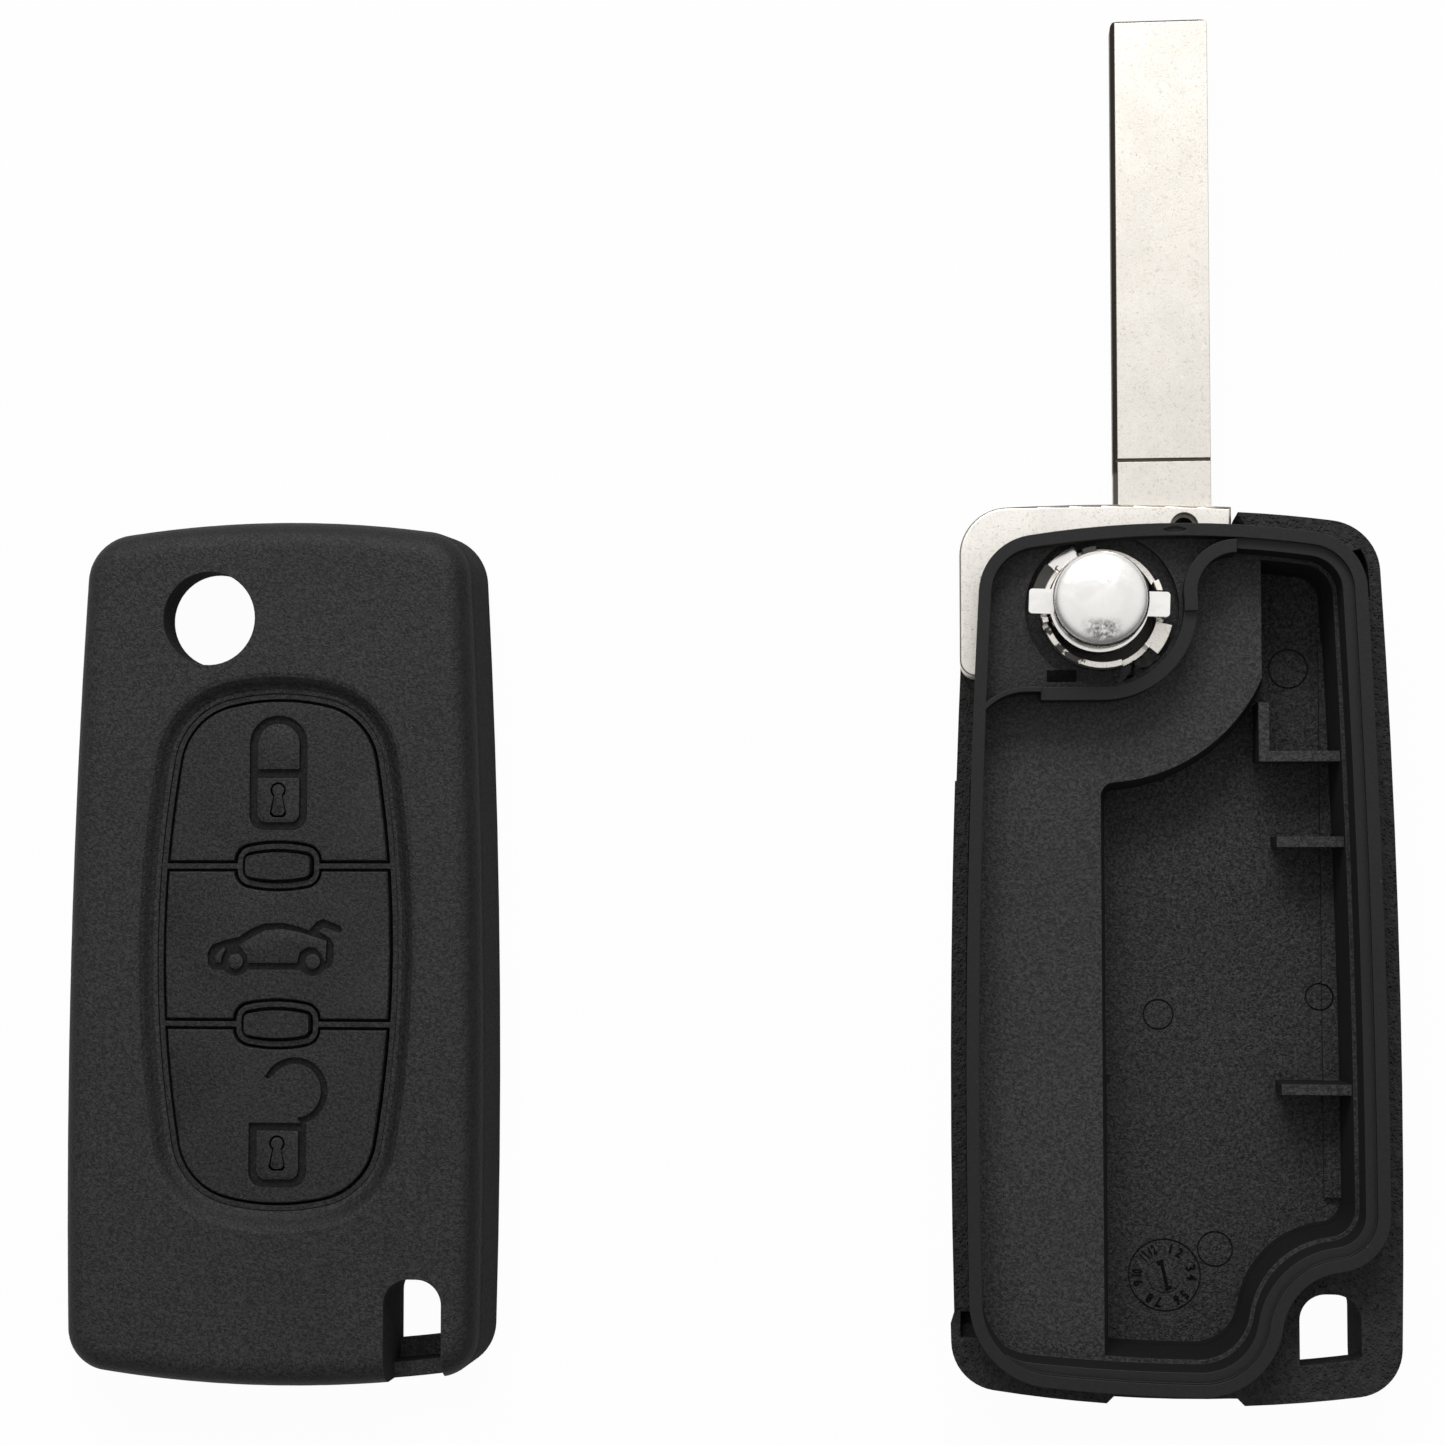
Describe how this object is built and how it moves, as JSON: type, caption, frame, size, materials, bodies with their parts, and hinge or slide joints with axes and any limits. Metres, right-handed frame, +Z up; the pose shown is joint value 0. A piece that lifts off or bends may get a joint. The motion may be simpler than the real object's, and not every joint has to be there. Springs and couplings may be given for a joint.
{
  "type": "key fob shell",
  "caption": "Opened flip-key fob shell: rear half with tray, release button and a plain blade swung out, and beside it the front cover with its rubber keypad.",
  "frame": {"origin": "centre of the rear cover's flat back, on the table", "axes": "+Z up out of the table and the tray's open side, +Y along the shell towards the blade's tip, +X from the front cover towards the rear half"},
  "size_m": [0.1166, 0.1201, 0.0173],
  "materials": {
    "rear_plastic": "moulded black, rough flange texture",
    "tray_plastic": "moulded black, satin",
    "cover_plastic": "moulded black, fine grain",
    "keypad_rubber": "soft matt black",
    "button_rubber": "soft matt black",
    "head_metal": "satin nickel silver",
    "blade_metal": "ground nickel silver",
    "pin_steel": "plain steel",
    "release_metal": "plated, softly worn",
    "spring_steel": "drawn wire"
  },
  "bodies": {
    "shell": {"rear_cover": "rear_plastic", "inner_tray": "tray_plastic", "front_cover": "cover_plastic", "keypad_web": "keypad_rubber"},
    "blade_unit": {"blade_head": "head_metal", "blade": "blade_metal", "blade_pin": "pin_steel", "release_spring": "spring_steel"},
    "release": {"release_button": "release_metal"},
    "lock": {"lock_button": "button_rubber"},
    "boot": {"boot_button": "button_rubber"},
    "unlock": {"unlock_button": "button_rubber"}
  },
  "joints": [
    {"name": "blade_flip", "type": "hinge", "parent": "shell", "child": "blade_unit", "pos_m": [-0.00575, 0.02945, 0.0045], "axis": [0, 0, 1], "range_deg": [0, 180], "stiffness_Nm_per_rad": 0.005, "springref_deg": -34.38},
    {"name": "release_press", "type": "slide", "parent": "blade_unit", "child": "release", "axis": [0, 0, -1], "range_m": [0, 0.0018], "stiffness_N_per_m": 800, "springref_m": -0.002, "deforming": ["release_spring"]},
    {"name": "lock_press", "type": "slide", "parent": "shell", "child": "lock", "axis": [0, 0, -1], "range_m": [0, 0.0004], "stiffness_N_per_m": 400, "springref_m": -0.0005},
    {"name": "boot_press", "type": "slide", "parent": "shell", "child": "boot", "axis": [0, 0, -1], "range_m": [0, 0.0004], "stiffness_N_per_m": 400, "springref_m": -0.0005},
    {"name": "unlock_press", "type": "slide", "parent": "shell", "child": "unlock", "axis": [0, 0, -1], "range_m": [0, 0.0004], "stiffness_N_per_m": 400, "springref_m": -0.0005}
  ]
}
